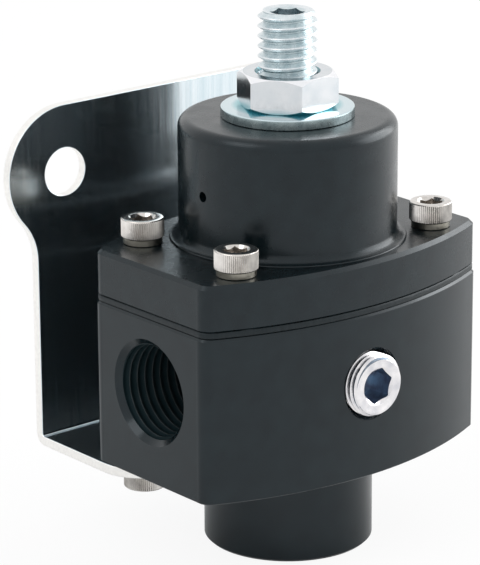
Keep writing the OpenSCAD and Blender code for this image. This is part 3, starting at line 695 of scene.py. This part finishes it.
bracket_finish, tree, shader = start_material("zinc_on_sheet", metallic=1)
mottle(tree, shader, cloud(tree, 0.7 * MM, ROLLED, 4),
       dark=(0.56, 0.67, 0.72), pale=(0.77, 0.825, 0.855))
roughen(tree, shader, cloud(tree, 0.5 * MM, ROLLED, 5), 0.12, 0.21)
flecks = spread(tree, cloud(tree, 0.35 * MM, detail=1), 0.992, 0.9, start=0.6, end=0.74)
tree.links.new(flecks, shader.inputs["Metallic"])
raise_surface(tree, shader, (cloud(tree, 0.4 * MM, ROLLED, 4), 0.055, 0.02 * MM),
              (cloud(tree, 6 * MM), 0.025, 0.1 * MM))
cut_finish, _, _ = mottled("zinc_on_cut", metallic=1, roughness=0.35, blot=(0.6 * MM,),
                           dark=(0.86, 0.85, 0.83), pale=(0.95, 0.94, 0.91),
                           grain=(0.3 * MM,), strength=0.2, depth=0.02 * MM)
bracket = bmesh.new()
bracket.from_mesh(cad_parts["mounting_bracket"].data)
bmesh.ops.remove_doubles(bracket, verts=bracket.verts, dist=SAME_PLACE)
bmesh.ops.dissolve_limit(bracket, angle_limit=FLAT_WITHIN, verts=bracket.verts,
                         edges=bracket.edges)
for face in bracket.faces:
    middle, out = face.calc_center_median(), face.normal
    if middle.z > PLATE_FROM_Z:
        on_sheet = abs(out.y) > SQUARE_ON
    elif middle.y < FOOT_TO_Y:
        on_sheet = abs(out.z) > SQUARE_ON
    else:
        on_sheet = abs(out.x) < EDGE_ON
    face.material_index = SHEET_FACE if on_sheet else CUT_EDGE
bent = finish_piece("bent_bracket", bracket, "housing", [bracket_finish, cut_finish],
                    ["mounting_bracket"])
edge = bent.modifiers.new("broken_edge", "BEVEL")
edge.width = BROKEN_EDGE
edge.segments = 2
edge.limit_method = "ANGLE"
edge.angle_limit = BROKEN_FROM
bent.modifiers.move(1, 0)  # before the even shading


# Bracket screws: two of the same stainless screws, shorter, driven up through the bracket's
# foot into the body.
FOOT_X, FOOT_Y, FOOT_Z, FOOT_SHANK = 20.6 * MM, 11.5 * MM, 14 * MM, 9.5 * MM

feet = bmesh.new()
for side, degrees in ((-1, 15), (1, 35)):
    cap_screw(feet, Matrix.Translation((side * FOOT_X, FOOT_Y, FOOT_Z))
              @ Matrix.Rotation(math.pi, 4, "X"), FOOT_SHANK, math.radians(degrees))
finish_piece("bracket_cap_screws", feet, "housing", stainless,
             ["bracket_screws"])


# Floor and light: a white table in an even white room, with a soft box on the left,
# a broad one on the right and a small one high up on the right.
TABLE_SIZE, TABLE_WHITE = 6, (0.92, 0.92, 0.92, 1)
TABLE_GLOW_SEEN, TABLE_GLOW_REFLECTED = 0.9, 0.15
ROOM_LIGHT, ROOM_SEEN = 0.85, 1.0
WHITE = (1, 1, 1, 1)
SOFT_BOXES = (  # name, place, aim, width, height and power, in metres and watts
    ("left_box", (-0.55, 0.1, 0.6), (-0.05, 0.05, 0.0), 0.4, 0.4, 0.9),
    ("high_box", (0.62, -0.12, 0.52), (0, 0, 0.04), 0.35, 0.35, 0.6),
    ("right_box", (0.75, -0.25, 0.28), (0, 0, 0.04), 0.8, 0.55, 4.6))


def by_ray(tree, camera, reflection):
    """One share for what the camera or a clear piece sees, one for what a reflection sees,
    and 0 for the light that falls on the object."""
    path = tree.nodes.new("ShaderNodeLightPath")
    seen = None
    for kind, amount in (("Is Camera Ray", camera), ("Is Transmission Ray", camera),
                         ("Is Glossy Ray", reflection)):
        part = tree.nodes.new("ShaderNodeMath")
        part.operation = "MULTIPLY"
        part.inputs[1].default_value = amount
        tree.links.new(path.outputs[kind], part.inputs[0])
        if seen:
            either = tree.nodes.new("ShaderNodeMath")
            either.operation = "MAXIMUM"
            tree.links.new(seen, either.inputs[0])
            tree.links.new(part.outputs[0], either.inputs[1])
            part = either
        seen = part.outputs[0]
    return seen


ground = bmesh.new()
bmesh.ops.create_grid(ground, x_segments=1, y_segments=1, size=TABLE_SIZE)
floor_mesh = bpy.data.meshes.new("white_table")
ground.to_mesh(floor_mesh)
ground.free()
floor = bpy.data.objects.new("white_table", floor_mesh)
bpy.context.scene.collection.objects.link(floor)
white = bpy.data.materials.new("table_white")
white.use_nodes = True
tree = white.node_tree
tree.nodes.remove(tree.nodes["Principled BSDF"])
matt = tree.nodes.new("ShaderNodeBsdfDiffuse")
matt.inputs["Color"].default_value = TABLE_WHITE
glow = tree.nodes.new("ShaderNodeEmission")
glow.inputs["Color"].default_value = WHITE
mixed = tree.nodes.new("ShaderNodeMixShader")
tree.links.new(by_ray(tree, TABLE_GLOW_SEEN, TABLE_GLOW_REFLECTED), mixed.inputs["Fac"])
tree.links.new(matt.outputs[0], mixed.inputs[1])
tree.links.new(glow.outputs[0], mixed.inputs[2])
tree.links.new(mixed.outputs[0], tree.nodes["Material Output"].inputs["Surface"])
floor_mesh.materials.append(white)

room = bpy.data.worlds.new("white_room")
bpy.context.scene.world = room
room.use_nodes = True
tree = room.node_tree
light = spread(tree, by_ray(tree, 1, 1), ROOM_LIGHT, ROOM_SEEN, start=0, end=1)
tree.links.new(light, tree.nodes["Background"].inputs["Strength"])
tree.nodes["Background"].inputs["Color"].default_value = WHITE

for name, spot, aim, width, height, power in SOFT_BOXES:
    lamp = bpy.data.lights.new(name, "AREA")
    lamp.shape = "RECTANGLE"
    lamp.size, lamp.size_y = width, height
    lamp.energy = power
    box = bpy.data.objects.new(name, lamp)
    box.location = spot
    box.rotation_euler = (Vector(aim) - Vector(spot)).to_track_quat("-Z", "Y").to_euler()
    bpy.context.scene.collection.objects.link(box)


# Camera: a long lens at the photograph's angle, rolled by a third of a degree.
# Its place, direction and length come from the fit of the CAD model to the photograph.
CAMERA_PLACE = (-0.318548, -0.369459, 0.196534)
CAMERA_AHEAD = (0.61135, 0.73195, -0.30084)
CAMERA_TURN, CAMERA_ROLL = math.radians(-39.87), math.radians(0.337)
LENS_LENGTH, SENSOR_WIDTH = 203.66, 36

ahead = Vector(CAMERA_AHEAD).normalized()
right = Vector((math.cos(CAMERA_TURN), math.sin(CAMERA_TURN), 0))
down = ahead.cross(right)
image_right = math.cos(CAMERA_ROLL) * right + math.sin(CAMERA_ROLL) * down
image_up = math.sin(CAMERA_ROLL) * right - math.cos(CAMERA_ROLL) * down
lens = bpy.data.cameras.new("long_lens")
lens.lens = LENS_LENGTH
lens.sensor_width = SENSOR_WIDTH
lens.clip_start, lens.clip_end = 0.01, 20
camera = bpy.data.objects.new("long_lens", lens)
camera.matrix_world = Matrix((image_right, image_up, -ahead)).transposed().to_4x4()
camera.location = CAMERA_PLACE
bpy.context.scene.collection.objects.link(camera)
bpy.context.scene.camera = camera
bpy.context.scene.view_settings.view_transform = "Standard"
